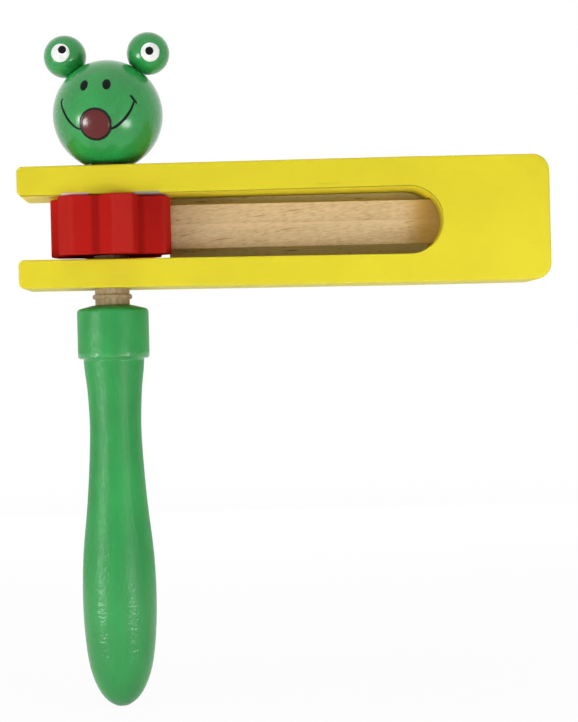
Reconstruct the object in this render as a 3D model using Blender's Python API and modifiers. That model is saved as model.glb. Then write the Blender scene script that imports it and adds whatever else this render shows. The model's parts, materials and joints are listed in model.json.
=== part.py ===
"""A wooden ratchet rattle: a forked frame whirls round a held handle, and its tongue clicks over a toothed cog.

Metres, +Z up along the handle, +X along the frame, -Y toward the viewer.
The origin is on the handle's axis, halfway along the handle.
"""

import math

import bmesh
import bpy
from mathutils import Matrix, Vector

# Handle, turned from one piece
HANDLE_LENGTH = 0.1279
HANDLE_TIP_Z = -0.0640
COLLAR_DIAMETER = 0.0228
COLLAR_LENGTH = 0.0170
COLLAR_EDGE = 0.0013
COLLAR_CROWN = 0.0010
COLLAR_LOWER_EDGE = 0.0009
# Share of the grip's length above the tip, and diameter, at each turned station
HANDLE_STATIONS = (
    (0.003, 0.0044),
    (0.020, 0.0098),
    (0.054, 0.0151),
    (0.112, 0.0197),
    (0.197, 0.0224),
    (0.309, 0.0235),
    (0.440, 0.0225),
    (0.583, 0.0192),
    (0.709, 0.0172),
    (0.807, 0.0164),
    (0.897, 0.0172),
    (0.932, 0.0179),
    (0.966, 0.0188),
    (1.000, 0.0194),
)
HANDLE_SOCKET_DEPTH = 0.0320
SOCKET_CHAMFER = 0.0006

# Shaft, a fluted dowel that joins handle, cog and head
SHAFT_DIAMETER = 0.0110
SHAFT_FLUTES = 16
SHAFT_FLUTE_DEPTH = 0.00035
SHAFT_BARE_LENGTH = 0.0047
SHAFT_CHAMFER = 0.0008
GLUE_GAP = 0.0003
RUNNING_GAP = 0.0005
RING_WALL = 0.0005
RING_THICKNESS = 0.0014
RING_DROP = 0.0010
FINE_EDGE = 0.0003
CUT_MARGIN = 0.005

# Forked frame
FRAME_LENGTH = 0.1675
FRAME_HEIGHT = 0.0396
FRAME_THICKNESS = 0.0240
FRAME_OVERHANG = 0.0283
FRAME_END_RADIUS = 0.0052
ARM_END_RADIUS = 0.0018
FRAME_EDGE = 0.0005
SLOT_HEIGHT = 0.0212
SLOT_DROP = 0.0002
BLOCK_LENGTH = 0.0339
# How far each arm leans toward the other at the open end
ARM_PINCH = 0.0007

# Cog
COG_TEETH = 6
COG_TIP_RADIUS = 0.0195
COG_VALLEY_RADIUS = 0.0141
COG_TIP_WIDTH = 0.0062
COG_VALLEY_WIDTH = 0.0012
COG_LOWER_GAP = 0.00135
COG_UPPER_GAP = 0.0001
COG_FRONT_TOOTH_DEG = 15.0
COG_EDGE = 0.0005

# Tongue and the slat behind it
TONGUE_TIP_GAP = 0.00025
TONGUE_THICKNESS = 0.0024
TONGUE_TIP_THICKNESS = 0.0012
TONGUE_TIP_TAPER = 0.0040
TONGUE_HEIGHT = 0.0142
TONGUE_RISE = 0.0002
TONGUE_GLUED_LENGTH = 0.0120
KERF_GAP = 0.00045
TONGUE_SWING = 0.0060
SLAT_THICKNESS = 0.0030
SLAT_GAP = 0.0001
SLAT_COG_GAP = 0.0003

# Frog head
HEAD_RADIUS = 0.0175
HEAD_BASE_RADIUS = 0.0075
HEAD_WASHER_DIAMETER = 0.0132
HEAD_WASHER_THICKNESS = 0.0006
HEAD_WASHER_EDGE = 0.0001
WASHER_GAP = 0.00025
EYE_TURN_DEG = 7.0
EYE_RADIUS = 0.0068
EYE_LEAN_DEG = 35.0
EYE_SINK = 0.00085
EYE_SEAT_GAP = 0.00015
PEG_DIAMETER = 0.0030
PEG_IN_HEAD = 0.0065
PEG_IN_EYE = 0.0050

# Places that follow from the sizes above
HANDLE_TOP_Z = HANDLE_TIP_Z + HANDLE_LENGTH
SHAFT_FIT_RADIUS = SHAFT_DIAMETER / 2 + GLUE_GAP
FRAME_BOTTOM_Z = HANDLE_TOP_Z + SHAFT_BARE_LENGTH
FRAME_TOP_Z = FRAME_BOTTOM_Z + FRAME_HEIGHT
FRAME_RIGHT_X = FRAME_LENGTH - FRAME_OVERHANG
SLOT_MIDDLE_Z = FRAME_BOTTOM_Z + FRAME_HEIGHT / 2 - SLOT_DROP
SLOT_END_X = FRAME_RIGHT_X - BLOCK_LENGTH
SLOT_CENTRE_X = SLOT_END_X - SLOT_HEIGHT / 2


def arm_drop(x):
    """How far each arm leans toward the slot's middle at this x."""
    return ARM_PINCH * max(0.0, SLOT_CENTRE_X - x) / (SLOT_CENTRE_X + FRAME_OVERHANG)


def slot_half(x):
    return SLOT_HEIGHT / 2 - arm_drop(x)


COG_BOTTOM_Z = SLOT_MIDDLE_Z - slot_half(-COG_TIP_RADIUS) + COG_LOWER_GAP
COG_HEIGHT = 2 * slot_half(-COG_TIP_RADIUS) - COG_LOWER_GAP - COG_UPPER_GAP
TONGUE_CENTRE_Z = SLOT_MIDDLE_Z + TONGUE_RISE
SLAT_FRONT_Y = TONGUE_THICKNESS / 2 + TONGUE_SWING
HEAD_WASHER_Z = FRAME_TOP_Z - arm_drop(HEAD_WASHER_DIAMETER / 2) + WASHER_GAP
HEAD_BASE_Z = HEAD_WASHER_Z + HEAD_WASHER_THICKNESS + WASHER_GAP
HEAD_CENTRE_Z = HEAD_BASE_Z + math.sqrt(HEAD_RADIUS**2 - HEAD_BASE_RADIUS**2)
EYE_REACH = HEAD_RADIUS + EYE_RADIUS - EYE_SINK


def clear_scene():
    for obj in list(bpy.data.objects):
        bpy.data.objects.remove(obj, do_unlink=True)


def material(name, colour, roughness):
    made = bpy.data.materials.new(name)
    made.use_nodes = True
    shader = made.node_tree.nodes["Principled BSDF"]
    shader.inputs["Base Color"].default_value = (*colour, 1.0)
    shader.inputs["Roughness"].default_value = roughness
    made.diffuse_color = (*colour, 1.0)
    return made


def add_object(name, bm, look=None, place=None):
    bmesh.ops.recalc_face_normals(bm, faces=bm.faces)
    if place is not None:
        bm.transform(place)
    mesh = bpy.data.meshes.new(name)
    bm.to_mesh(mesh)
    bm.free()
    if look is not None:
        mesh.materials.append(look)
    for face in mesh.polygons:
        face.use_smooth = True
    mesh.set_sharp_from_angle(angle=math.radians(35))
    obj = bpy.data.objects.new(name, mesh)
    bpy.context.scene.collection.objects.link(obj)
    return obj


def lathe(profile, segments, closed=False, flutes=0, flute_depth=0.0):
    """Turns (radius, height) points about Z. A radius of 0 makes a pole."""
    bm = bmesh.new()
    rings = []
    for radius, height in profile:
        if radius < 1e-9:
            rings.append([bm.verts.new((0.0, 0.0, height))])
            continue
        ring = []
        for step in range(segments):
            angle = 2 * math.pi * step / segments
            cut = flute_depth * max(0.0, math.cos(flutes * angle)) if flutes else 0.0
            reach = radius - cut
            ring.append(bm.verts.new((reach * math.cos(angle), reach * math.sin(angle), height)))
        rings.append(ring)
    pairs = list(zip(rings, rings[1:]))
    if closed:
        pairs.append((rings[-1], rings[0]))
    for low, high in pairs:
        for step in range(segments):
            after = (step + 1) % segments
            corners = [low[step % len(low)], low[after % len(low)]]
            corners += [high[after % len(high)], high[step % len(high)]]
            corners = list(dict.fromkeys(corners))
            if len(corners) > 2:
                bm.faces.new(corners)
    return bm


def prism(outline, start, length, axis):
    """Extrudes a closed outline of 2-D points. Along Y the points are (x, z), and along Z they are (x, y)."""
    bm = bmesh.new()
    if axis == "Y":
        base = [bm.verts.new((u, start, v)) for u, v in outline]
        shift = Vector((0.0, length, 0.0))
    else:
        base = [bm.verts.new((u, v, start)) for u, v in outline]
        shift = Vector((0.0, 0.0, length))
    face = bm.faces.new(base)
    made = bmesh.ops.extrude_face_region(bm, geom=[face])
    moved = [item for item in made["geom"] if isinstance(item, bmesh.types.BMVert)]
    bmesh.ops.translate(bm, vec=shift, verts=moved)
    return bm


def arc(centre_u, centre_v, radius, start_deg, end_deg, steps):
    points = []
    for step in range(steps + 1):
        angle = math.radians(start_deg + (end_deg - start_deg) * step / steps)
        points.append((centre_u + radius * math.cos(angle), centre_v + radius * math.sin(angle)))
    return points


def smooth_curve(stations, steps):
    """Points on a smooth curve through the stations, with the given steps between each two."""
    points = []
    for index in range(len(stations) - 1):
        before = stations[max(index - 1, 0)]
        here = stations[index]
        there = stations[index + 1]
        beyond = stations[min(index + 2, len(stations) - 1)]
        for step in range(steps):
            t = step / steps
            point = []
            for a, b, c, d in zip(before, here, there, beyond):
                bend = 2 * a - 5 * b + 4 * c - d
                twist = 3 * b - a - 3 * c + d
                point.append(0.5 * (2 * b + (c - a) * t + bend * t * t + twist * t * t * t))
            points.append(tuple(point))
    points.append(tuple(stations[-1]))
    return points


def bevel(obj, width, segments, angle_deg):
    modifier = obj.modifiers.new("Rounded edges", "BEVEL")
    modifier.width = width
    modifier.segments = segments
    modifier.limit_method = "ANGLE"
    modifier.angle_limit = math.radians(angle_deg)
    modifier.use_clamp_overlap = False


def cut(obj, name, bm, place=None):
    cutter = add_object(name, bm, place=place)
    cutter.hide_render = True
    cutter.display_type = "WIRE"
    modifier = obj.modifiers.new(name, "BOOLEAN")
    modifier.operation = "DIFFERENCE"
    modifier.solver = "EXACT"
    modifier.object = cutter


def rod(radius, start, length, segments=32):
    return lathe([(0.0, start), (radius, start), (radius, start + length), (0.0, start + length)], segments)


def ring(outer, inner, start, thickness, edge, segments=48):
    top = start + thickness
    profile = [(inner, start), (outer - edge, start), (outer, start + edge)]
    profile += [(outer, top - edge), (outer - edge, top), (inner, top)]
    return lathe(profile, segments, closed=True)


def build_handle(look):
    top = HANDLE_TOP_Z
    collar_low = top - COLLAR_LENGTH
    collar = COLLAR_DIAMETER / 2
    bore = SHAFT_FIT_RADIUS
    grip = HANDLE_LENGTH - COLLAR_LENGTH
    profile = [(0.0, HANDLE_TIP_Z)]
    for share, diameter in smooth_curve(HANDLE_STATIONS, 3):
        profile.append((diameter / 2, HANDLE_TIP_Z + share * grip))
    low_edge = COLLAR_LOWER_EDGE
    profile += arc(collar - low_edge, collar_low + low_edge, low_edge, -90, 0, 3)
    rim = top - COLLAR_CROWN - COLLAR_EDGE
    profile += arc(collar - COLLAR_EDGE, rim, COLLAR_EDGE, 0, 80, 5)
    profile += [(bore + SOCKET_CHAMFER, top), (bore, top - SOCKET_CHAMFER)]
    profile += [(bore, top - HANDLE_SOCKET_DEPTH), (0.0, top - HANDLE_SOCKET_DEPTH)]
    add_object("handle", lathe(profile, 48), look)


def build_shaft(look):
    low = HANDLE_TOP_Z - HANDLE_SOCKET_DEPTH + GLUE_GAP
    high = HEAD_CENTRE_Z
    radius = SHAFT_DIAMETER / 2
    edge = SHAFT_CHAMFER
    profile = [(0.0, low), (radius - edge, low), (radius, low + edge)]
    profile += [(radius, high - edge), (radius - edge, high), (0.0, high)]
    bm = lathe(profile, SHAFT_FLUTES * 4, flutes=SHAFT_FLUTES, flute_depth=SHAFT_FLUTE_DEPTH)
    add_object("shaft", bm, look)


def build_shaft_ring(look):
    start = FRAME_BOTTOM_Z - RING_DROP - RING_THICKNESS - GLUE_GAP
    bm = ring(SHAFT_FIT_RADIUS + RING_WALL, SHAFT_FIT_RADIUS, start, RING_THICKNESS, FINE_EDGE)
    add_object("shaft_ring", bm, look)


def frame_outline():
    """The fork in (x, z), from the lower arm's outer corner round to the lower arm's inner corner."""
    left = -FRAME_OVERHANG
    right = FRAME_RIGHT_X
    low = FRAME_BOTTOM_Z
    high = FRAME_TOP_Z
    middle = SLOT_MIDDLE_Z
    half = SLOT_HEIGHT / 2
    end = FRAME_END_RADIUS
    tip = ARM_END_RADIUS
    lean = ARM_PINCH
    points = arc(left + tip, low + lean + tip, tip, 180, 270, 4)
    points += [(SLOT_CENTRE_X, low)]
    points += arc(right - end, low + end, end, -90, 0, 6)
    points += arc(right - end, high - end, end, 0, 90, 6)
    points += [(SLOT_CENTRE_X, high)]
    points += arc(left + tip, high - lean - tip, tip, 90, 180, 4)
    points += arc(left + tip, middle + half - lean + tip, tip, 180, 270, 4)
    points += arc(SLOT_CENTRE_X, middle, half, 90, -90, 28)
    points += arc(left + tip, middle - half + lean - tip, tip, 90, 180, 4)
    return points


def build_frame(look):
    bm = prism(frame_outline(), -FRAME_THICKNESS / 2, FRAME_THICKNESS, "Y")
    frame = add_object("frame", bm, look)
    bevel(frame, FRAME_EDGE, 3, 50)
    bore = rod(SHAFT_DIAMETER / 2 + RUNNING_GAP, FRAME_BOTTOM_Z - CUT_MARGIN, FRAME_HEIGHT + 2 * CUT_MARGIN, 40)
    cut(frame, "cut_shaft_holes", bore)
    half = TONGUE_THICKNESS / 2 + KERF_GAP
    kerf_low = TONGUE_CENTRE_Z - TONGUE_HEIGHT / 2 - KERF_GAP
    kerf_end = SLOT_END_X + TONGUE_GLUED_LENGTH + KERF_GAP
    kerf = [(SLOT_CENTRE_X, -half), (kerf_end, -half), (kerf_end, half), (SLOT_CENTRE_X, half)]
    cut(frame, "cut_tongue_kerf", prism(kerf, kerf_low, TONGUE_HEIGHT + 2 * KERF_GAP, "Z"))


def cog_outline():
    points = []
    tip_angle = math.asin(COG_TIP_WIDTH / 2 / COG_TIP_RADIUS)
    valley_angle = math.asin(COG_VALLEY_WIDTH / 2 / COG_VALLEY_RADIUS)
    pitch = 2 * math.pi / COG_TEETH
    for tooth in range(COG_TEETH):
        # Angles run from the front, -Y, toward +X
        centre = math.radians(COG_FRONT_TOOTH_DEG) + tooth * pitch
        corners = (
            (COG_TIP_RADIUS, centre - tip_angle),
            (COG_TIP_RADIUS, centre + tip_angle),
            (COG_VALLEY_RADIUS, centre + pitch / 2 - valley_angle),
            (COG_VALLEY_RADIUS, centre + pitch / 2 + valley_angle),
        )
        points += [(radius * math.sin(angle), -radius * math.cos(angle)) for radius, angle in corners]
    return points


def build_cog(look):
    cog = add_object("cog", prism(cog_outline(), COG_BOTTOM_Z, COG_HEIGHT, "Z"), look)
    bevel(cog, COG_EDGE, 2, 20)
    bore = rod(SHAFT_FIT_RADIUS, COG_BOTTOM_Z - CUT_MARGIN, COG_HEIGHT + 2 * CUT_MARGIN, 40)
    cut(cog, "cut_cog_bore", bore)


def tongue_tip_x():
    """How near the axis the tongue can reach between the teeth, at its own clearance."""
    strip = TONGUE_TIP_THICKNESS / 2 + TONGUE_TIP_GAP
    reach = 0.0
    points = cog_outline()
    for (x0, y0), (x1, y1) in zip(points, points[1:] + points[:1]):
        for share in range(101):
            x = x0 + (x1 - x0) * share / 100
            y = y0 + (y1 - y0) * share / 100
            if abs(y) <= strip:
                reach = max(reach, x)
    return reach + TONGUE_TIP_GAP


def build_tongue(look):
    root = SLOT_END_X + TONGUE_GLUED_LENGTH
    half = TONGUE_THICKNESS / 2
    tip = TONGUE_TIP_THICKNESS / 2
    tip_x = tongue_tip_x()
    shoulder = tip_x + TONGUE_TIP_TAPER
    outline = [(tip_x, -tip), (shoulder, -half), (root, -half)]
    outline += [(root, half), (shoulder, half), (tip_x, tip)]
    low = TONGUE_CENTRE_Z - TONGUE_HEIGHT / 2
    tongue = add_object("tongue", prism(outline, low, TONGUE_HEIGHT, "Z"), look)
    bevel(tongue, FINE_EDGE, 2, 40)


def build_backing_slat(look):
    left = math.sqrt(COG_TIP_RADIUS**2 - SLAT_FRONT_Y**2) + SLAT_COG_GAP
    left_half = slot_half(left) - SLAT_GAP
    outline = [(left, SLOT_MIDDLE_Z - left_half)]
    outline += arc(SLOT_CENTRE_X, SLOT_MIDDLE_Z, SLOT_HEIGHT / 2 - SLAT_GAP, -90, 90, 28)
    outline += [(left, SLOT_MIDDLE_Z + left_half)]
    slat = add_object("backing_slat", prism(outline, SLAT_FRONT_Y, SLAT_THICKNESS, "Y"), look)
    bevel(slat, FINE_EDGE, 2, 50)


def eye_direction(side):
    turn = math.radians(EYE_TURN_DEG)
    lean = math.radians(EYE_LEAN_DEG)
    across = Vector((math.cos(turn), -math.sin(turn), 0.0)) * side * math.sin(lean)
    return across + Vector((0.0, 0.0, math.cos(lean)))


def along(direction):
    """Carries +Z at the origin to this direction at the head's centre."""
    turned = Vector((0.0, 0.0, 1.0)).rotation_difference(direction).to_matrix().to_4x4()
    return Matrix.Translation((0.0, 0.0, HEAD_CENTRE_Z)) @ turned


def build_head(look):
    bore = SHAFT_FIT_RADIUS
    socket_top = HEAD_CENTRE_Z + GLUE_GAP
    base_angle = math.degrees(math.asin((HEAD_BASE_Z - HEAD_CENTRE_Z) / HEAD_RADIUS))
    profile = [(0.0, socket_top), (bore, socket_top), (bore, HEAD_BASE_Z)]
    profile += arc(0.0, HEAD_CENTRE_Z, HEAD_RADIUS, base_angle, 90, 26)
    profile[-1] = (0.0, HEAD_CENTRE_Z + HEAD_RADIUS)
    head = add_object("head", lathe(profile, 46), look)
    for name, side in (("cut_peg_hole_left", -1), ("cut_peg_hole_right", 1)):
        hole = rod(PEG_DIAMETER / 2 + GLUE_GAP, HEAD_RADIUS - PEG_IN_HEAD, PEG_IN_HEAD + CUT_MARGIN, 20)
        cut(head, name, hole, along(eye_direction(side)))


def build_head_washer(look):
    outer = HEAD_WASHER_DIAMETER / 2
    bm = ring(outer, SHAFT_FIT_RADIUS, HEAD_WASHER_Z, HEAD_WASHER_THICKNESS, HEAD_WASHER_EDGE)
    add_object("head_washer", bm, look)


def build_eye(name, side, look):
    """A bead with a hollow seat that fits the head, drilled for its peg."""
    direction = eye_direction(side)
    reach = EYE_REACH
    seat = HEAD_RADIUS + EYE_SEAT_GAP
    seat_height = (reach * reach + seat * seat - EYE_RADIUS * EYE_RADIUS) / (2 * reach)
    rim = math.sqrt(seat * seat - seat_height * seat_height)
    bore = PEG_DIAMETER / 2 + GLUE_GAP
    floor = HEAD_RADIUS + PEG_IN_EYE
    profile = [(0.0, floor), (bore, floor), (bore, math.sqrt(seat * seat - bore * bore))]
    profile += [((bore + rim) / 2, math.sqrt(seat * seat - ((bore + rim) / 2) ** 2))]
    rim_angle = math.degrees(math.atan2(seat_height - reach, rim))
    profile += arc(0.0, reach, EYE_RADIUS, rim_angle, 90, 16)
    profile[-1] = (0.0, reach + EYE_RADIUS)
    add_object(name, lathe(profile, 32), look, along(direction))


def build_eye_peg(name, side, look):
    start = HEAD_RADIUS - PEG_IN_HEAD + GLUE_GAP
    length = PEG_IN_HEAD + PEG_IN_EYE - 2 * GLUE_GAP
    add_object(name, rod(PEG_DIAMETER / 2, start, length, 20), look, along(eye_direction(side)))


def main():
    clear_scene()
    green = (0.052, 0.342, 0.103)
    beech = (0.610, 0.429, 0.216)
    build_handle(material("handle green paint", green, 0.35))
    build_shaft(material("shaft beech", (0.45, 0.36, 0.18), 0.7))
    build_shaft_ring(material("shaft ring beech", (0.50, 0.40, 0.22), 0.7))
    build_frame(material("frame yellow paint", (0.791, 0.687, 0.034), 0.4))
    build_cog(material("cog red paint", (0.513, 0.012, 0.010), 0.4))
    build_tongue(material("tongue beech", beech, 0.6))
    build_backing_slat(material("backing slat beech", beech, 0.6))
    build_head_washer(material("head washer beech", beech, 0.6))
    build_head(material("head green paint", green, 0.3))
    for side, word in ((-1, "left"), (1, "right")):
        build_eye("eye_" + word, side, material("eye " + word + " green paint", green, 0.3))
        build_eye_peg("eye_peg_" + word, side, material("eye peg " + word + " beech", beech, 0.7))


main()
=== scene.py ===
"""Looks of a wooden ratchet rattle with a frog head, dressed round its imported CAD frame.

Metres, +Z up along the handle, +X along the forked frame, -Y toward the viewer.
"""

import json
import math

import bmesh
import bpy
from mathutils import Matrix, Vector

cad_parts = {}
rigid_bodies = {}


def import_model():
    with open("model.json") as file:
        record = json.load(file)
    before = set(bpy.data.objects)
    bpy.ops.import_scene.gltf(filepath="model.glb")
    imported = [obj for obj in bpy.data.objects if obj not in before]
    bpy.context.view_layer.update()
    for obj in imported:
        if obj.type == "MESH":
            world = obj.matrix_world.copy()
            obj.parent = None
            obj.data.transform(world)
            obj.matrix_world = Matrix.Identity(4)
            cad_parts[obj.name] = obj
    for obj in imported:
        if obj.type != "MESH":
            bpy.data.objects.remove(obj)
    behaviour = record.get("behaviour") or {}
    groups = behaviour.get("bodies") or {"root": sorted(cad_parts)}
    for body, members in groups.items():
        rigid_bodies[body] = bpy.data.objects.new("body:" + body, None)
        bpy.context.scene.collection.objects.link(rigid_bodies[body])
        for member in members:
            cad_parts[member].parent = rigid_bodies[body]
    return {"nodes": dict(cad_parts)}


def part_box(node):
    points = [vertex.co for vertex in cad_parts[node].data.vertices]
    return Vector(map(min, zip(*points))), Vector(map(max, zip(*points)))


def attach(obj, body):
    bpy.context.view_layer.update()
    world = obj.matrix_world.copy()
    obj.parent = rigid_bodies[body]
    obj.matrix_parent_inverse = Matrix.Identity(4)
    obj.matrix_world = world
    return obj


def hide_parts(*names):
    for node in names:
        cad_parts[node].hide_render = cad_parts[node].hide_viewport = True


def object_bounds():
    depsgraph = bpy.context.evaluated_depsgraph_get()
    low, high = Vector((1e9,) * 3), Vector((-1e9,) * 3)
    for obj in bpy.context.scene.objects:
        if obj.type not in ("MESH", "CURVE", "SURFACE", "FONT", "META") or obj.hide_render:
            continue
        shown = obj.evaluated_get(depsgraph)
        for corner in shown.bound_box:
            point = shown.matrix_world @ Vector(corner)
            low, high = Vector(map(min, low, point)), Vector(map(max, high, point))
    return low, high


for leftover in list(bpy.data.objects):
    bpy.data.objects.remove(leftover, do_unlink=True)

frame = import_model()
CAD_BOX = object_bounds()
NODES = frame["nodes"]

bl_info = {
    "name": "Ratchet rattle finishes",
    "version": (1, 0, 0),
    "blender": (4, 5, 0),
    "location": "3D View > Sidebar > Rattle",
    "description": "Paints, woods, frog face and studio for a wooden ratchet rattle",
    "category": "Object",
}

IMAGE_WIDTH = 578
IMAGE_HEIGHT = 722
FILM_SIDE = 36.0

# The balls that carry the face, read from the frame
HEAD_LOW, HEAD_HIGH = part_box("head")
HEAD_RADIUS = (HEAD_HIGH.x - HEAD_LOW.x) / 2
HEAD_CENTRE = Vector((0.0, 0.0, HEAD_HIGH.z - HEAD_RADIUS))


def bead(node, side):
    """Centre and radius of an eye bead, from the sides of its box that its seat leaves whole."""
    low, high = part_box(node)
    radius = (high.y - low.y) / 2
    outer = low.x + radius if side < 0 else high.x - radius
    return Vector((outer, (low.y + high.y) / 2, high.z - radius)), radius


HEAD_BALL = (HEAD_CENTRE, HEAD_RADIUS)
LEFT_BEAD = bead("eye_left", -1)
RIGHT_BEAD = bead("eye_right", 1)

# The floor lies just under the handle's tip
FLOOR_HEIGHT = CAD_BOX[0].z - 0.0002
FLOOR_REACH = 6.0
# It glows a little less near the rattle, so that the shadow shows
GLOW_NEAR = 0.2
GLOW_FAR = 1.2
GLOW_LEAST = 0.95

# Radii of the cog's valleys and tips, and the radii between which its teeth rub the arm above it
COG_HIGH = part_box("cog")[1]
COG_TOP = COG_HIGH.z
COG_VALLEY = 0.0141
COG_TIP = COG_HIGH.x
COG_SWEEP = (0.0136, COG_TIP)

# The frame's front and left sides, and the round end and middle height of its slot
FRAME_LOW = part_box("frame")[0]
FRAME_FRONT = FRAME_LOW.y
FRAME_LEFT = FRAME_LOW.x
SLAT_LOW, SLAT_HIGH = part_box("backing_slat")
SLOT_END = SLAT_HIGH.x
SLOT_MIDDLE = (SLAT_LOW.z + SLAT_HIGH.z) / 2

# Heights of the handle's tip and of its collar's lower edge, and of the growth ring on the tongue
HANDLE_TIP, HANDLE_TOP = (corner.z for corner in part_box("handle"))
COLLAR_LENGTH = 0.0170
COLLAR_LOW = HANDLE_TOP - COLLAR_LENGTH
TONGUE_LOW, TONGUE_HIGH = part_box("tongue")
RING_HEIGHT = TONGUE_HIGH.z - 0.45 * (TONGUE_HIGH.z - TONGUE_LOW.z)

# The smile on the head, as (turn from the face's middle, rise) in degrees
SMILE_LEFT = (
    (-40.2, 13.3),
    (-43.0, 10.9),
    (-41.0, 4.5),
    (-36.8, -2.2),
    (-32.6, -8.8),
    (-28.2, -14.0),
    (-23.5, -18.1),
    (-15.0, -21.8),
)
SMILE_RIGHT = (
    (14.0, -22.4),
    (17.1, -21.7),
    (21.8, -19.5),
    (26.9, -15.6),
    (31.8, -10.8),
    (36.6, -4.1),
    (39.9, 1.9),
    (42.4, 7.7),
)
SMILE_TICK = ((38.7, 13.7), (40.3, 11.2), (42.5, 8.3), (45.4, 5.1))


class RATTLE_PG_paint(bpy.types.PropertyGroup):
    """Colours and gloss of the painted pieces."""

    green: bpy.props.FloatVectorProperty(
        name="Green",
        description="Paint of the handle, the head and the eye beads",
        subtype="COLOR",
        size=3,
        min=0.0,
        max=1.0,
        default=(0.020, 0.292, 0.060),
    )
    yellow: bpy.props.FloatVectorProperty(
        name="Yellow",
        description="Paint of the forked frame",
        subtype="COLOR",
        size=3,
        min=0.0,
        max=1.0,
        default=(0.705, 0.600, 0.023),
    )
    red: bpy.props.FloatVectorProperty(
        name="Red",
        description="Paint of the cog",
        subtype="COLOR",
        size=3,
        min=0.0,
        max=1.0,
        default=(0.465, 0.0145, 0.011),
    )
    maroon: bpy.props.FloatVectorProperty(
        name="Maroon",
        description="Enamel of the nose",
        subtype="COLOR",
        size=3,
        min=0.0,
        max=1.0,
        default=(0.105, 0.0, 0.0),
    )
    white: bpy.props.FloatVectorProperty(
        name="White",
        description="Enamel of the eye whites",
        subtype="COLOR",
        size=3,
        min=0.0,
        max=1.0,
        default=(0.96, 0.96, 0.95),
    )
    black: bpy.props.FloatVectorProperty(
        name="Black",
        description="Enamel of the pupils, nostrils and face lines",
        subtype="COLOR",
        size=3,
        min=0.0,
        max=1.0,
        default=(0.004, 0.005, 0.005),
    )
    primer: bpy.props.FloatVectorProperty(
        name="Primer",
        description="Pale ground that shows where the cog has rubbed the frame's paint away",
        subtype="COLOR",
        size=3,
        min=0.0,
        max=1.0,
        default=(0.94, 0.84, 0.88),
    )
    head_roughness: bpy.props.FloatProperty(
        name="Head roughness",
        description="Roughness of the green paint on the head and eyes",
        subtype="FACTOR",
        min=0.0,
        max=1.0,
        default=0.26,
    )
    handle_roughness: bpy.props.FloatProperty(
        name="Handle roughness",
        description="Roughness of the green paint on the handle",
        subtype="FACTOR",
        min=0.0,
        max=1.0,
        default=0.44,
    )


class RATTLE_PG_wood(bpy.types.PropertyGroup):
    """Colours of the bare beech."""

    pale: bpy.props.FloatVectorProperty(
        name="Pale beech",
        description="Lightest bands of the bare wood",
        subtype="COLOR",
        size=3,
        min=0.0,
        max=1.0,
        default=(0.625, 0.462, 0.275),
    )
    tan: bpy.props.FloatVectorProperty(
        name="Tan beech",
        description="Darker bands of the bare wood",
        subtype="COLOR",
        size=3,
        min=0.0,
        max=1.0,
        default=(0.535, 0.375, 0.205),
    )
    fleck: bpy.props.FloatVectorProperty(
        name="Fleck",
        description="Short ray flecks of the bare wood",
        subtype="COLOR",
        size=3,
        min=0.0,
        max=1.0,
        default=(0.300, 0.170, 0.065),
    )
    # Painted shade: the tongue is painted darker and amber toward its end, where the slot's round end
    # shades it.
    end_shade: bpy.props.FloatVectorProperty(
        name="End shade",
        description="Amber of the tongue's wood where it goes into the slot's round end",
        subtype="COLOR",
        size=3,
        min=0.0,
        max=1.0,
        default=(0.420, 0.235, 0.024),
    )
    # Painted light: the slat's wood is painted lighter than the tongue's beech, for the little light that
    # reaches it.
    slat_brightened: bpy.props.FloatVectorProperty(
        name="Slat",
        description="Lightest bands of the slat behind the tongue",
        subtype="COLOR",
        size=3,
        min=0.0,
        max=1.0,
        default=(0.87, 0.69, 0.31),
    )


class RATTLE_PG_face(bpy.types.PropertyGroup):
    """Sizes and places of the painted frog face."""

    turn: bpy.props.FloatProperty(
        name="Face turn",
        description="Turn of the face's middle from the front, toward the frame",
        subtype="ANGLE",
        default=math.radians(-10.2),
    )
    film: bpy.props.FloatProperty(
        name="Paint film",
        description="Thickness of the enamel over the ball",
        subtype="DISTANCE",
        unit="LENGTH",
        default=0.00012,
    )
    nose_rise: bpy.props.FloatProperty(
        name="Nose rise",
        description="Height of the nose on the head, as an angle above level",
        subtype="ANGLE",
        default=math.radians(-16.8),
    )
    nose_radius: bpy.props.FloatProperty(
        name="Nose radius",
        description="Radius of the nose along the ball, with its outline",
        subtype="DISTANCE",
        unit="LENGTH",
        default=0.00528,
    )
    nose_outline: bpy.props.FloatProperty(
        name="Nose outline",
        description="Width of the black line round the nose",
        subtype="DISTANCE",
        unit="LENGTH",
        default=0.00072,
    )
    nostril_turn: bpy.props.FloatProperty(
        name="Nostril turn",
        description="Turn of each nostril from the face's middle",
        subtype="ANGLE",
        default=math.radians(13.2),
    )
    nostril_rise: bpy.props.FloatProperty(
        name="Nostril rise",
        description="Height of the nostrils on the head, as an angle above level",
        subtype="ANGLE",
        default=math.radians(25.4),
    )
    nostril_width: bpy.props.FloatProperty(
        name="Nostril half width",
        description="Half the width of a nostril",
        subtype="DISTANCE",
        unit="LENGTH",
        default=0.00128,
    )
    nostril_height: bpy.props.FloatProperty(
        name="Nostril half height",
        description="Half the height of a nostril",
        subtype="DISTANCE",
        unit="LENGTH",
        default=0.00190,
    )
    smile_width: bpy.props.FloatProperty(
        name="Smile width",
        description="Width of the smile's line at its middle",
        subtype="DISTANCE",
        unit="LENGTH",
        default=0.00088,
    )
    white_radius: bpy.props.FloatProperty(
        name="Eye white radius",
        description="Radius of the white on each eye, along the bead",
        subtype="DISTANCE",
        unit="LENGTH",
        default=0.00308,
    )
    pupil_radius: bpy.props.FloatProperty(
        name="Pupil radius",
        description="Radius of each pupil, along the bead",
        subtype="DISTANCE",
        unit="LENGTH",
        default=0.00130,
    )


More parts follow.
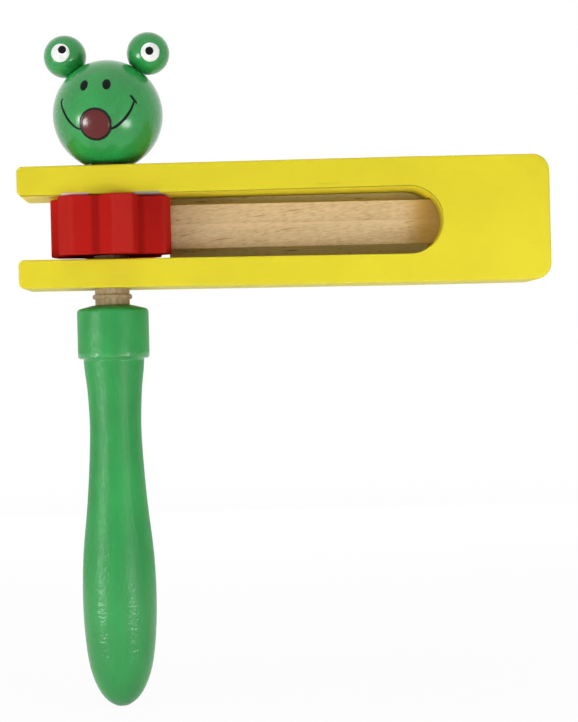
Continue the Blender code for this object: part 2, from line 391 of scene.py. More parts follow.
class RATTLE_PG_stage(bpy.types.PropertyGroup):
    """Camera, lamps and floor."""

    camera_place: bpy.props.FloatVectorProperty(
        name="Camera place",
        description="Where the camera stands",
        subtype="TRANSLATION",
        unit="LENGTH",
        size=3,
        default=(0.0371, -0.56426, 0.04472),
    )
    camera_turn: bpy.props.FloatProperty(
        name="Camera turn",
        description="Turn of the camera from straight ahead, toward +X",
        subtype="ANGLE",
        default=math.radians(1.91),
    )
    camera_roll: bpy.props.FloatProperty(
        name="Camera roll",
        description="How far the picture leans, with its right side up",
        subtype="ANGLE",
        default=math.radians(1.43),
    )
    focal_pixels: bpy.props.FloatProperty(
        name="Focal length in pixels",
        description="Focal length of the camera, in pixels of the picture",
        default=1760.9,
    )
    left_power: bpy.props.FloatProperty(
        name="Left softbox",
        description="Power of the softbox on the left",
        subtype="POWER",
        unit="POWER",
        default=1.50,
    )
    right_power: bpy.props.FloatProperty(
        name="Right softbox",
        description="Power of the softbox on the right",
        subtype="POWER",
        unit="POWER",
        default=0.66,
    )
    front_power: bpy.props.FloatProperty(
        name="Front softbox",
        description="Power of the softbox beside the camera, which lights the slot",
        subtype="POWER",
        unit="POWER",
        default=0.20,
    )
    low_power: bpy.props.FloatProperty(
        name="Low softbox",
        description="Power of the softbox near the floor, which lights the lower sides",
        subtype="POWER",
        unit="POWER",
        default=0.065,
    )
    top_power: bpy.props.FloatProperty(
        name="Top softbox",
        description="Power of the softbox overhead",
        subtype="POWER",
        unit="POWER",
        default=4.0,
    )
    back_power: bpy.props.FloatProperty(
        name="Back softbox",
        description="Power of the softbox behind the rattle, which lights its back",
        subtype="POWER",
        unit="POWER",
        default=2.2,
    )
    sky_strength: bpy.props.FloatProperty(
        name="Fill light",
        description="Strength of the even light from all round",
        min=0.0,
        default=0.08,
    )
    floor_colour: bpy.props.FloatVectorProperty(
        name="Floor",
        description="Colour of the studio floor",
        subtype="COLOR",
        size=3,
        min=0.0,
        max=1.0,
        default=(0.95, 0.95, 0.95),
    )


def shaded(colour, factor):
    """The colour, darker or lighter by this factor."""
    return tuple(min(1.0, channel * factor) for channel in colour)


class Finish:
    """A node material while it is put together.

    Its patterns lie on the object's own coordinates, in metres.
    """

    def __init__(self, name):
        self.look = bpy.data.materials.new(name)
        self.look.use_nodes = True
        self.nodes = self.look.node_tree.nodes
        self.links = self.look.node_tree.links
        self.shader = self.nodes["Principled BSDF"]
        self.place = self.nodes.new("ShaderNodeTexCoord").outputs["Object"]

    def feed(self, socket, value):
        """Links another socket to this one, or sets it to a number or a colour."""
        if isinstance(value, bpy.types.NodeSocket):
            self.links.new(value, socket)
        elif hasattr(value, "__len__") and len(value) == 3 and socket.type == "RGBA":
            socket.default_value = (*value, 1.0)
        else:
            socket.default_value = value

    def mapped(self, per_metre, turn=(0.0, 0.0, 0.0), offset=(0.0, 0.0, 0.0)):
        """Coordinates turned first, then stretched to this many pattern units in a metre."""
        source = self.place
        if any(turn):
            turned = self.nodes.new("ShaderNodeMapping")
            turned.inputs["Rotation"].default_value = turn
            self.links.new(source, turned.inputs["Vector"])
            source = turned.outputs["Vector"]
        stretched = self.nodes.new("ShaderNodeMapping")
        stretched.inputs["Location"].default_value = offset
        stretched.inputs["Scale"].default_value = per_metre
        self.links.new(source, stretched.inputs["Vector"])
        return stretched.outputs["Vector"]

    def noise(self, vector, detail=3.0, roughness=0.5, distortion=0.0):
        node = self.nodes.new("ShaderNodeTexNoise")
        self.links.new(vector, node.inputs["Vector"])
        node.inputs["Scale"].default_value = 1.0
        node.inputs["Detail"].default_value = detail
        node.inputs["Roughness"].default_value = roughness
        node.inputs["Distortion"].default_value = distortion
        return node.outputs["Fac"]

    def cells(self, vector):
        """Distance to the middle of each random cell, and a random colour for the cell."""
        node = self.nodes.new("ShaderNodeTexVoronoi")
        self.links.new(vector, node.inputs["Vector"])
        node.inputs["Scale"].default_value = 1.0
        return node.outputs["Distance"], node.outputs["Color"]

    def spread(self, value, low, high, to_low=0.0, to_high=1.0):
        """Carries the span from low to high onto another span, and stops at its ends."""
        node = self.nodes.new("ShaderNodeMapRange")
        node.interpolation_type = "SMOOTHSTEP"
        self.links.new(value, node.inputs["Value"])
        node.inputs["From Min"].default_value = low
        node.inputs["From Max"].default_value = high
        node.inputs["To Min"].default_value = to_low
        node.inputs["To Max"].default_value = to_high
        return node.outputs["Result"]

    def maths(self, operation, first, second):
        node = self.nodes.new("ShaderNodeMath")
        node.operation = operation
        self.feed(node.inputs[0], first)
        self.feed(node.inputs[1], second)
        return node.outputs["Value"]

    def mix(self, factor, first, second):
        node = self.nodes.new("ShaderNodeMix")
        node.data_type = "RGBA"
        self.feed(node.inputs[0], factor)
        self.feed(node.inputs[6], first)
        self.feed(node.inputs[7], second)
        return node.outputs[2]

    def lot(self, colour):
        """One random number for each cell, from its random colour."""
        node = self.nodes.new("ShaderNodeSeparateColor")
        self.links.new(colour, node.inputs["Color"])
        return node.outputs["Red"]

    def edge(self, radius, low=0.02, high=0.22):
        """Near 1 along sharp edges and 0 on open faces."""
        rounded = self.nodes.new("ShaderNodeBevel")
        rounded.samples = 4
        rounded.inputs["Radius"].default_value = radius
        plain = self.nodes.new("ShaderNodeNewGeometry")
        dot = self.nodes.new("ShaderNodeVectorMath")
        dot.operation = "DOT_PRODUCT"
        self.links.new(rounded.outputs["Normal"], dot.inputs[0])
        self.links.new(plain.outputs["Normal"], dot.inputs[1])
        return self.spread(self.maths("SUBTRACT", 1.0, dot.outputs["Value"]), low, high)

    def along(self, axis):
        """Place along one of the object's axes."""
        node = self.nodes.new("ShaderNodeSeparateXYZ")
        self.links.new(self.place, node.inputs["Vector"])
        return node.outputs[axis]

    def rounding_and_side(self):
        """Near 1 on the front's rounded edges, and near 1 on the sides that stand square to the front."""
        node = self.nodes.new("ShaderNodeSeparateXYZ")
        self.links.new(self.place.node.outputs["Normal"], node.inputs["Vector"])
        forward = node.outputs["Y"]
        turned = self.spread(forward, -0.98, -0.90)
        behind = self.spread(forward, -0.35, -0.15)
        side = self.maths("MULTIPLY", behind, self.spread(forward, 0.15, 0.35, 1.0, 0.0))
        return self.maths("SUBTRACT", turned, behind), side

    def from_axis(self, aside=0.0):
        """Distance from the shaft's axis, or from an upright line this far to its right."""
        flat = self.nodes.new("ShaderNodeVectorMath")
        flat.operation = "LENGTH"
        self.links.new(self.mapped((1.0, 1.0, 0.0), offset=(-aside, 0.0, 0.0)), flat.inputs[0])
        return flat.outputs["Value"]

    def rubbed_ring(self):
        """Near 1 along the upper arm's lower front edge where the cog's teeth sweep past it."""
        ragged = self.spread(self.noise(self.mapped((700.0, 700.0, 700.0))), 0.3, 0.7, -0.00015, 0.00015)
        reach = self.maths("ADD", self.from_axis(0.0010), ragged)
        height = self.along("Z")
        inner, outer = COG_SWEEP
        started = self.spread(reach, inner, inner + 0.0003)
        ended = self.spread(reach, outer, outer + 0.0003, 1.0, 0.0)
        above = self.spread(height, COG_TOP - 0.003, COG_TOP - 0.002)
        below = self.spread(height, COG_TOP + 0.0008, COG_TOP + 0.0010, 1.0, 0.0)
        front = self.spread(self.along("Y"), FRAME_FRONT + 0.0040, FRAME_FRONT + 0.0044, 1.0, 0.0)
        swept = self.maths("MULTIPLY", started, ended)
        edge = self.maths("MULTIPLY", front, self.maths("MULTIPLY", above, below))
        return self.maths("MULTIPLY", swept, edge)

    def bump(self, height, strength, distance, under=None):
        node = self.nodes.new("ShaderNodeBump")
        node.inputs["Strength"].default_value = strength
        node.inputs["Distance"].default_value = distance
        self.links.new(height, node.inputs["Height"])
        if under is not None:
            self.links.new(under, node.inputs["Normal"])
        return node.outputs["Normal"]

    def done(self, colour, roughness, normal, **constants):
        """The finished material. The constants go straight to the shader's own sockets."""
        self.feed(self.shader.inputs["Base Color"], colour)
        self.feed(self.shader.inputs["Roughness"], roughness)
        self.feed(self.shader.inputs["Normal"], normal)
        for socket, value in constants.items():
            self.shader.inputs[socket.replace("_", " ")].default_value = value
        return self.look


def dipped_paint(name, colour, roughness, wear_radius, relief, shine, lacquer, rubbed=False):
    """Green paint dipped over turned wood: drifting tone, faint runs along the grain, an orange peel.

    The relief is the depth of the runs and the peel. Rubbed paint keeps its lacquer only on the lower
    bulge and on the collar's lower edge.
    """
    finish = Finish(name)
    drift = finish.noise(finish.mapped((85.0, 85.0, 45.0)), detail=4.0)
    runs = finish.noise(finish.mapped((620.0, 620.0, 26.0)), detail=3.0, roughness=0.6)
    peel = finish.noise(finish.mapped((1050.0, 1050.0, 620.0)), detail=2.5)
    specks = finish.noise(finish.mapped((420.0, 420.0, 300.0), offset=(3.1, 7.7, 1.9)), detail=5.0)
    tone = finish.mix(finish.spread(drift, 0.32, 0.68), shaded(colour, 0.88), shaded(colour, 1.10))
    tone = finish.mix(finish.spread(runs, 0.52, 0.78, 0.0, 0.16), tone, shaded(colour, 1.30))
    tone = finish.mix(finish.spread(specks, 0.66, 0.80, 0.0, 0.25), tone, shaded(colour, 0.75))
    if wear_radius:
        worn = finish.maths("MULTIPLY", finish.edge(wear_radius), finish.spread(specks, 0.45, 0.66))
        tone = finish.mix(finish.maths("MULTIPLY", worn, 0.40), tone, shaded(colour, 1.6))
    matt = finish.spread(peel, 0.25, 0.75, roughness - 0.05, roughness + 0.06)
    surface = finish.bump(runs, 0.6, 0.5 * relief)
    surface = finish.bump(peel, 0.6, 0.5 * relief, surface)
    dents = finish.noise(finish.mapped((330.0, 330.0, 760.0), offset=(6.2, 0.4, 9.5)), detail=1.5)
    finish.links.new(finish.bump(dents, 0.6, 2.4 * relief), finish.shader.inputs["Coat Normal"])
    coat = lacquer
    if rubbed:
        height = finish.along("Z")
        bulge = finish.spread(height, HANDLE_TIP + 0.030, HANDLE_TIP + 0.048, lacquer, 0.0)
        from_edge = finish.maths("ABSOLUTE", finish.maths("SUBTRACT", height, COLLAR_LOW + 0.0005), 0.0)
        rim = finish.spread(from_edge, 0.0007, 0.0016, 0.7, 0.0)
        coat = finish.maths("MAXIMUM", bulge, rim)
    finish.feed(finish.shader.inputs["Coat Weight"], coat)
    return finish.done(tone, matt, surface, Specular_IOR_Level=shine, Coat_Roughness=0.20)


def sprayed_paint(name, colour, roughness, wear, grain, shine, primer=None, teeth=None):
    """Paint on planed wood: pores of the grain show as faint dashes, and the edges are rubbed paler.

    The wear gives the reach of the rubbing from an edge and its strength. Where a primer is given, it
    shows on the upper arm where the turning cog has rubbed the paint away, with painted shade toward its
    right; a darker line runs along the slot's upper front edge; the slot's sides get painted light. The
    teeth give the radii of a cog's valleys, which get painted shade, and of its tips, which are rubbed
    pale.
    """
    finish = Finish(name)
    drift = finish.noise(finish.mapped((45.0, 45.0, 45.0)), detail=4.0)
    pores = finish.noise(finish.mapped(grain), detail=4.0, roughness=0.65)
    sparse = tuple(channel * 0.55 for channel in grain)
    dashes, chance = finish.cells(finish.mapped(sparse, offset=(5.3, 1.7, 8.9)))
    peel = finish.noise(finish.mapped((1300.0, 1300.0, 1300.0)), detail=2.0)
    tone = finish.mix(finish.spread(drift, 0.30, 0.70), shaded(colour, 0.97), shaded(colour, 1.03))
    tone = finish.mix(finish.spread(pores, 0.56, 0.76, 0.0, 0.20), tone, shaded(colour, 0.86))
    few = finish.spread(finish.lot(chance), 0.86, 0.90)
    dash = finish.maths("MULTIPLY", few, finish.spread(dashes, 0.10, 0.22, 1.0, 0.0))
    tone = finish.mix(finish.maths("MULTIPLY", dash, 0.25), tone, shaded(colour, 0.60))
    rubbed = finish.maths("MULTIPLY", finish.edge(wear[0]), finish.spread(drift, 0.38, 0.62))
    pale = tuple(0.7 * channel + 0.3 * wood for channel, wood in zip(colour, (0.86, 0.80, 0.58)))
    tone = finish.mix(finish.maths("MULTIPLY", rubbed, wear[1]), tone, pale)
    if teeth is not None:
        valley, tip = teeth
        # Painted shade: the cog's valleys are painted darker, down to half, for the shade between the
        # teeth.
        valley_shade = finish.spread(finish.from_axis(), valley, valley + 0.0009, 0.60, 0.0)
        tone = finish.mix(valley_shade, tone, shaded(colour, 0.50))
        worn = finish.spread(finish.from_axis(), tip - 0.0009, tip - 0.0003, 0.0, 0.03)
        tone = finish.mix(worn, tone, pale)
    if primer is not None:
        height = finish.along("Z")
        over = finish.spread(height, SLOT_MIDDLE, SLOT_MIDDLE + 0.004)
        under = finish.spread(height, SLOT_MIDDLE + 0.0125, SLOT_MIDDLE + 0.0130, 0.9, 0.0)
        started = finish.spread(finish.along("X"), FRAME_LEFT + 0.0008, FRAME_LEFT + 0.0012)
        ended = finish.spread(finish.along("X"), SLOT_END + 0.0008, SLOT_END + 0.0012, 1.0, 0.0)
        slot = finish.maths("MULTIPLY", finish.maths("MULTIPLY", over, under), started)
        slot = finish.maths("MULTIPLY", slot, ended)
        rounding, side = finish.rounding_and_side()
        # A darker line runs along the slot's upper front rounded edge.
        tone = finish.mix(finish.maths("MULTIPLY", slot, rounding), tone, shaded(colour, 0.45))
        # Painted light: the slot's inner sides are painted 30% lighter, for light that reaches into the
        # slot.
        tone = finish.mix(finish.maths("MULTIPLY", slot, side), tone, shaded(colour, 1.30))
        # Painted shade: the worn primer is painted darker toward the right, for the front tooth's shadow
        # on it.
        shade_toward_right = finish.spread(finish.along("X"), -0.004, 0.008)
        tone = finish.mix(finish.rubbed_ring(), tone, finish.mix(shade_toward_right, primer, shaded(primer, 0.38)))
    matt = finish.spread(pores, 0.30, 0.70, roughness - 0.05, roughness + 0.08)
    relief = finish.bump(pores, 0.15, 0.00008)
    relief = finish.bump(peel, 0.10, 0.00005, relief)
    return finish.done(tone, matt, relief, Specular_IOR_Level=shine)


def beech(name, pale, tan, fleck, turn, roughness, upright=False, figure=0.5, end_shade=None, ring=None):
    """Bare beech: slow bands and fine fibres along the grain, long dark dashes and short ray flecks.

    The figure is the strength of the fine mottling. An end_shade gives the x at which the wood starts to
    darken, the x at which it is darkest and its colour: painted shade, amber for the yellow walls'
    bounce, where the slot's round end shades the tongue. A ring is the height of one growth ring, pale
    below its line and darker above it.
    """
    finish = Finish(name)

    def grained(along, across):
        return (across, across, along) if upright else (along, across, across)

    slow = finish.mapped(grained(16.0, 210.0), turn=turn)
    bands = finish.noise(slow, detail=5.0, roughness=0.6, distortion=0.3)
    fibres = finish.noise(finish.mapped(grained(120.0, 1900.0), turn=turn), detail=3.0, roughness=0.6)
    near, chance = finish.cells(finish.mapped(grained(80.0, 820.0), turn=turn, offset=(2.3, 4.1, 6.7)))
    kept = finish.spread(finish.lot(chance), 0.58, 0.66)
    dashes = finish.maths("MULTIPLY", kept, finish.spread(near, 0.08, 0.26, 1.0, 0.0))
    near, chance = finish.cells(finish.mapped(grained(300.0, 1700.0), turn=turn, offset=(7.9, 1.3, 3.7)))
    kept = finish.spread(finish.lot(chance), 0.35, 0.45)
    flecks = finish.maths("MULTIPLY", kept, finish.spread(near, 0.10, 0.36, 1.0, 0.0))
    near, chance = finish.cells(finish.mapped(grained(34.0, 560.0), turn=turn, offset=(4.4, 8.2, 0.6)))
    kept = finish.spread(finish.lot(chance), 0.84, 0.88)
    strokes = finish.maths("MULTIPLY", kept, finish.spread(near, 0.06, 0.20, 1.0, 0.0))
    tone = finish.mix(finish.spread(bands, 0.32, 0.68), tan, pale)
    fine = finish.mapped(grained(430.0, 1700.0), turn=turn, offset=(1.1, 5.9, 2.7))
    mottle = finish.noise(fine, detail=2.0)
    tone = finish.mix(finish.spread(fibres, 0.48, 0.75, 0.0, 0.30), tone, shaded(tan, 0.84))
    tone = finish.mix(finish.spread(mottle, 0.50, 0.72, 0.0, figure), tone, shaded(tan, 0.78))
    tone = finish.mix(finish.spread(mottle, 0.30, 0.50, figure, 0.0), tone, shaded(pale, 1.16))
    if ring is not None:
        wander = finish.spread(finish.noise(finish.mapped((90.0, 90.0, 90.0))), 0.3, 0.7, -0.0002, 0.0002)
        height = finish.maths("ADD", finish.along("Z"), wander)
        lower = finish.spread(height, ring - 0.0026, ring - 0.0003, 0.0, 0.55)
        below = finish.spread(height, ring - 0.0001, ring + 0.0001, 1.0, 0.0)
        upper = finish.spread(height, ring, ring + 0.0014, 0.30, 0.0)
        tone = finish.mix(finish.maths("MULTIPLY", lower, below), tone, shaded(pale, 1.12))
        tone = finish.mix(finish.maths("SUBTRACT", upper, below), tone, shaded(tan, 0.80))
    tone = finish.mix(finish.maths("MULTIPLY", flecks, 0.42), tone, fleck)
    tone = finish.mix(finish.maths("MULTIPLY", dashes, 0.75), tone, fleck)
    tone = finish.mix(finish.maths("MULTIPLY", strokes, 0.90), tone, fleck)
    # Painted shade: the wood darkens toward the tongue's end, where the slot's round end shades it.
    if end_shade is not None:
        darker = finish.spread(finish.along("X"), end_shade[0], end_shade[1], 0.0, 0.72)
        tone = finish.mix(darker, tone, end_shade[2])
    # Painted highlight: the wood's edges are painted lighter, as rounded edges catching the light.
    tone = finish.mix(finish.maths("MULTIPLY", finish.edge(0.0004), 0.18), tone, shaded(pale, 1.12))
    matt = finish.spread(fibres, 0.25, 0.75, roughness - 0.08, roughness + 0.10)
    relief = finish.bump(fibres, 0.30, 0.00010)
    relief = finish.bump(dashes, 0.25, 0.00006, relief)
    return finish.done(tone, matt, relief, Specular_IOR_Level=0.20)


def enamel(name, colour, roughness, shine):
    """Brushed-on enamel of the face: faint brush marks in tone, gloss and surface."""
    finish = Finish(name)
    brush = finish.noise(finish.mapped((900.0, 900.0, 2600.0), turn=(0.3, 0.5, 0.0)), detail=3.0)
    drift = finish.noise(finish.mapped((380.0, 380.0, 380.0)), detail=3.0)
    tone = finish.mix(finish.spread(drift, 0.30, 0.70), shaded(colour, 0.92), shaded(colour, 1.06))
    tone = finish.mix(finish.spread(brush, 0.55, 0.80, 0.0, 0.22), tone, shaded(colour, 0.82))
    matt = finish.spread(brush, 0.25, 0.75, roughness - 0.05, roughness + 0.08)
    relief = finish.bump(brush, 0.04, 0.00004)
    return finish.done(tone, matt, relief, Specular_IOR_Level=shine)


def add_piece(name, bm, look, body="handle"):
    """A finished piece that rides with a body, its place in its mesh."""
    mesh = bpy.data.meshes.new(name)
    bm.to_mesh(mesh)
    bm.free()
    for face in mesh.polygons:
        face.use_smooth = True
    mesh.materials.append(look)
    piece = bpy.data.objects.new(name, mesh)
    bpy.context.scene.collection.objects.link(piece)
    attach(piece, body)
    return piece


def finished_copy(node, look, body="handle", sharp_degrees=40.0):
    """Stands for a CAD node with its triangles joined.

    Round faces then shade smoothly and corners stay crisp.
    """
    source = NODES[node]
    bm = bmesh.new()
    bm.from_mesh(source.data)
    bmesh.ops.transform(bm, matrix=source.matrix_world, verts=bm.verts)
    bmesh.ops.remove_doubles(bm, verts=bm.verts, dist=1e-6)
    piece = add_piece("finished_" + node, bm, look, body)
    piece.data.set_sharp_from_angle(angle=math.radians(sharp_degrees))
    evened = piece.modifiers.new("Even shading", "WEIGHTED_NORMAL")
    evened.keep_sharp = True
    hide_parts(node)
    return piece


def ball_axes(turn, rise):
    """Right, up and outward at a point of a ball, seen from outside."""
    outward = Vector((math.sin(turn) * math.cos(rise), -math.cos(turn) * math.cos(rise), math.sin(rise)))
    right = Vector((math.cos(turn), math.sin(turn), 0.0))
    return right, outward.cross(right), outward


# A dab's section from its middle to its edge and back under it, each point as a share of the radius,
# of the crown and of the film
DAB_SECTION = (
    (0.00, 1.00, 1.0),
    (0.25, 0.95, 1.0),
    (0.50, 0.80, 1.0),
    (0.72, 0.52, 1.0),
    (0.86, 0.25, 1.0),
    (0.94, 0.08, 0.9),
    (0.98, 0.00, 0.6),
    (1.00, 0.00, 0.0),
    (0.98, 0.00, -1.0),
    (0.50, 0.00, -1.0),
    (0.00, 0.00, -1.0),
)
DAB_STEPS = 64

# How far the middle of each dab stands above its edge
EYE_WHITE_CROWN = 0.00004
PUPIL_CROWN = 0.00006
NOSE_OUTLINE_CROWN = 0.00002
NOSE_CROWN = 0.00020
NOSTRIL_CROWN = 0.00005


def paint_dab(name, ball, spot, half_sizes, lean, film, crown, look):
    """A round or oval dab of enamel that lies on a ball, thin at its edge and fuller in its middle."""
    bm = bmesh.new()
    line = []
    for share, swell, cover in DAB_SECTION:
        line.append(bm.verts.new((share, 0.0, crown * swell + film * cover)))
    edges = [bm.edges.new(pair) for pair in zip(line, line[1:])]
    bmesh.ops.spin(
        bm,
        geom=line + edges,
        cent=(0.0, 0.0, 0.0),
        axis=(0.0, 0.0, 1.0),
        angle=2 * math.pi,
        steps=DAB_STEPS,
        use_merge=True,
    )
    bmesh.ops.remove_doubles(bm, verts=bm.verts, dist=1e-6)
    bmesh.ops.scale(bm, vec=(half_sizes[0], half_sizes[1], 1.0), verts=bm.verts)
    bmesh.ops.rotate(bm, cent=(0.0, 0.0, 0.0), matrix=Matrix.Rotation(lean, 3, "Z"), verts=bm.verts)
    wrap_on_ball(bm, ball, spot)
    bmesh.ops.recalc_face_normals(bm, faces=bm.faces)
    return add_piece(name, bm, look)


def wrap_on_ball(bm, ball, spot):
    """Bends a flat shape round a ball, keeping each length measured from its middle."""
    centre, radius = ball
    right, up, outward = ball_axes(*spot)
    for vert in bm.verts:
        flat = right * vert.co.x + up * vert.co.y
        angle = flat.length / radius
        away = flat.normalized() if flat.length > 1e-12 else right
        vert.co = centre + (outward * math.cos(angle) + away * math.sin(angle)) * (radius + vert.co.z)


def smooth_path(points, steps):
    """Points on a smooth curve through these (turn, rise) points."""
    path = []
    for index in range(len(points) - 1):
        a = Vector(points[max(index - 1, 0)])
        b = Vector(points[index])
        c = Vector(points[index + 1])
        d = Vector(points[min(index + 2, len(points) - 1)])
        for step in range(steps):
            t = step / steps
            bend = 2 * a - 5 * b + 4 * c - d
            twist = 3 * b - a - 3 * c + d
            path.append(0.5 * (2 * b + (c - a) * t + bend * t * t + twist * t * t * t))
    path.append(Vector(points[-1]))
    return path


LINE_SIDES = 10
LINE_STEPS = 6
LINE_END_SHARE = 0.45


def paint_line(name, ball, points, face_turn, width, film, look):
    """A brushed line on a ball, fuller in the middle of its stroke and fine at its ends."""
    centre, radius = ball
    path = smooth_path(points, LINE_STEPS)
    spots = [ball_axes(face_turn + math.radians(spot.x), math.radians(spot.y))[2] for spot in path]
    bm = bmesh.new()
    before = None
    for index, outward in enumerate(spots):
        ahead = spots[min(index + 1, len(spots) - 1)] - spots[max(index - 1, 0)]
        ahead = (ahead - outward * ahead.dot(outward)).normalized()
        across = outward.cross(ahead)
        share = index / (len(spots) - 1)
        fullness = LINE_END_SHARE + (1 - LINE_END_SHARE) * math.sin(math.pi * share) ** 0.5
        wide = across * (width / 2 * fullness)
        tall = outward * film
        at = centre + outward * radius
        place = Matrix((wide, tall, ahead)).transposed().to_4x4()
        place.translation = at
        last = index in (0, len(spots) - 1)
        made = bmesh.ops.create_circle(bm, cap_ends=last, radius=1.0, segments=LINE_SIDES, matrix=place)
        ring = list({edge for vert in made["verts"] for edge in vert.link_edges})
        if before is not None:
            bmesh.ops.bridge_loops(bm, edges=before + ring)
        before = ring
    bmesh.ops.recalc_face_normals(bm, faces=bm.faces)
    return add_piece(name, bm, look)


def softbox(name, place, target, width, height, power):
    """A rectangular area lamp that points at a target."""
    data = bpy.data.lights.new(name, "AREA")
    data.shape = "RECTANGLE"
    data.size = width
    data.size_y = height
    data.energy = power
    lamp = bpy.data.objects.new(name, data)
    lamp.location = place
    lamp.rotation_euler = (Vector(target) - Vector(place)).to_track_quat("-Z", "Y").to_euler()
    bpy.context.scene.collection.objects.link(lamp)
    return lamp


def seen_directly(nodes, links):
    """1 for what the camera, a reflection or a clear body shows, 0 for the light that falls on things."""
    rays = nodes.new("ShaderNodeLightPath")
    value = rays.outputs["Is Camera Ray"]
    for kind in ("Is Glossy Ray", "Is Transmission Ray"):
        either = nodes.new("ShaderNodeMath")
        either.operation = "MAXIMUM"
        links.new(value, either.inputs[0])
        links.new(rays.outputs[kind], either.inputs[1])
        value = either.outputs["Value"]
    return value


class RATTLE_OT_stage(bpy.types.Operator):
    """Sets the camera, the softboxes, the fill light and the floor"""

    bl_idname = "rattle.stage"
    bl_label = "Set the studio"

    def execute(self, context):
        stage = context.scene.rattle_stage
        self.camera(context, stage)
        self.lamps(stage)
        self.fill(context, stage)
        self.floor(stage)
        context.scene.view_settings.view_transform = "Standard"
        return {"FINISHED"}

    def camera(self, context, stage):
        data = bpy.data.cameras.new("photo_camera")
        data.sensor_width = FILM_SIDE
        data.lens = stage.focal_pixels * FILM_SIDE / max(IMAGE_WIDTH, IMAGE_HEIGHT)
        data.clip_start = 0.01
        camera = bpy.data.objects.new("photo_camera", data)
        level = Matrix.Rotation(-stage.camera_turn, 4, "Z") @ Matrix.Rotation(math.pi / 2, 4, "X")
        rolled = level @ Matrix.Rotation(-stage.camera_roll, 4, "Z")
        camera.matrix_world = Matrix.Translation(stage.camera_place) @ rolled
        context.scene.collection.objects.link(camera)
        context.scene.camera = camera

    def lamps(self, stage):
        middle = (0.03, 0.0, 0.05)
        softbox("left_softbox", (-0.41, -0.30, -0.005), middle, 0.16, 0.16, stage.left_power)
        softbox("right_softbox", (0.247, -0.258, -0.045), middle, 0.12, 0.12, stage.right_power)
        arms = (0.02, 0.0, 0.08)
        front = softbox("front_softbox", (0.02, -0.48, 0.06), arms, 0.40, 0.25, stage.front_power)
        slot = (0.07, 0.0, 0.09)
        low = softbox("low_softbox", (0.09, -0.18, -0.055), slot, 0.40, 0.10, stage.low_power)
        high = softbox("top_softbox", (0.05, -0.15, 0.85), middle, 0.60, 0.60, stage.top_power)
        back = softbox("back_softbox", (0.05, 0.70, 0.16), middle, 0.50, 0.40, stage.back_power)
        for lamp in (front, back):
            lamp.visible_camera = False
        for lamp in (front, low, high, back):
            lamp.visible_glossy = False

    def fill(self, context, stage):
        world = bpy.data.worlds.new("studio_fill")
        context.scene.world = world
        world.use_nodes = True
        nodes = world.node_tree.nodes
        links = world.node_tree.links
        white = nodes["Background"]
        white.inputs["Color"].default_value = (1.0, 1.0, 1.0, 1.0)
        white.inputs["Strength"].default_value = 1.0
        soft = nodes.new("ShaderNodeBackground")
        soft.inputs["Color"].default_value = (1.0, 1.0, 1.0, 1.0)
        soft.inputs["Strength"].default_value = stage.sky_strength
        blend = nodes.new("ShaderNodeMixShader")
        links.new(seen_directly(nodes, links), blend.inputs["Fac"])
        links.new(soft.outputs["Background"], blend.inputs[1])
        links.new(white.outputs["Background"], blend.inputs[2])
        links.new(blend.outputs["Shader"], nodes["World Output"].inputs["Surface"])

    def floor(self, stage):
        bm = bmesh.new()
        place = Matrix.Translation((0.0, 0.0, FLOOR_HEIGHT))
        bmesh.ops.create_grid(bm, x_segments=1, y_segments=1, size=FLOOR_REACH, matrix=place)
        mesh = bpy.data.meshes.new("studio_floor")
        bm.to_mesh(mesh)
        bm.free()
        look = bpy.data.materials.new("pale floor")
        look.use_nodes = True
        nodes = look.node_tree.nodes
        links = look.node_tree.links
        shader = nodes["Principled BSDF"]
        shader.inputs["Base Color"].default_value = (*stage.floor_colour, 1.0)
        shader.inputs["Roughness"].default_value = 0.9
        shader.inputs["Specular IOR Level"].default_value = 0.1
        glow = nodes.new("ShaderNodeEmission")
        glow.inputs["Color"].default_value = (1.0, 1.0, 1.0, 1.0)
        reach = nodes.new("ShaderNodeVectorMath")
        reach.operation = "LENGTH"
        links.new(nodes.new("ShaderNodeTexCoord").outputs["Object"], reach.inputs[0])
        far = nodes.new("ShaderNodeMapRange")
        far.interpolation_type = "SMOOTHSTEP"
        links.new(reach.outputs["Value"], far.inputs["Value"])
        far.inputs["From Min"].default_value = GLOW_NEAR
        far.inputs["From Max"].default_value = GLOW_FAR
        far.inputs["To Min"].default_value = GLOW_LEAST
        far.inputs["To Max"].default_value = 1.0
        share = nodes.new("ShaderNodeMath")
        share.operation = "MULTIPLY"
        links.new(seen_directly(nodes, links), share.inputs[0])
        links.new(far.outputs["Result"], share.inputs[1])
        blend = nodes.new("ShaderNodeMixShader")
        links.new(share.outputs["Value"], blend.inputs["Fac"])
        links.new(shader.outputs["BSDF"], blend.inputs[1])
        links.new(glow.outputs["Emission"], blend.inputs[2])
        links.new(blend.outputs["Shader"], nodes["Material Output"].inputs["Surface"])
        mesh.materials.append(look)
        floor = bpy.data.objects.new("studio_floor", mesh)
        bpy.context.scene.collection.objects.link(floor)


class RATTLE_OT_green_pieces(bpy.types.Operator):
    """Paints the handle, the head and the eye beads green"""

    bl_idname = "rattle.green_pieces"
    bl_label = "Paint the green pieces"

    def execute(self, context):
        paint = context.scene.rattle_paint
        green = tuple(paint.green)
        look = dipped_paint(
            "handle green",
            green,
            paint.handle_roughness,
            wear_radius=0.0009,
            relief=0.0004,
            shine=0.36,
            lacquer=0.36,
            rubbed=True,
        )
        finished_copy("handle", look)
        for node in ("head", "eye_left", "eye_right"):
            look = dipped_paint(
                node.replace("_", " ") + " green",
                green,
                paint.head_roughness,
                wear_radius=0.0,
                relief=0.000006,
                shine=0.10,
                lacquer=0.85,
            )
            finished_copy(node, look)
        return {"FINISHED"}


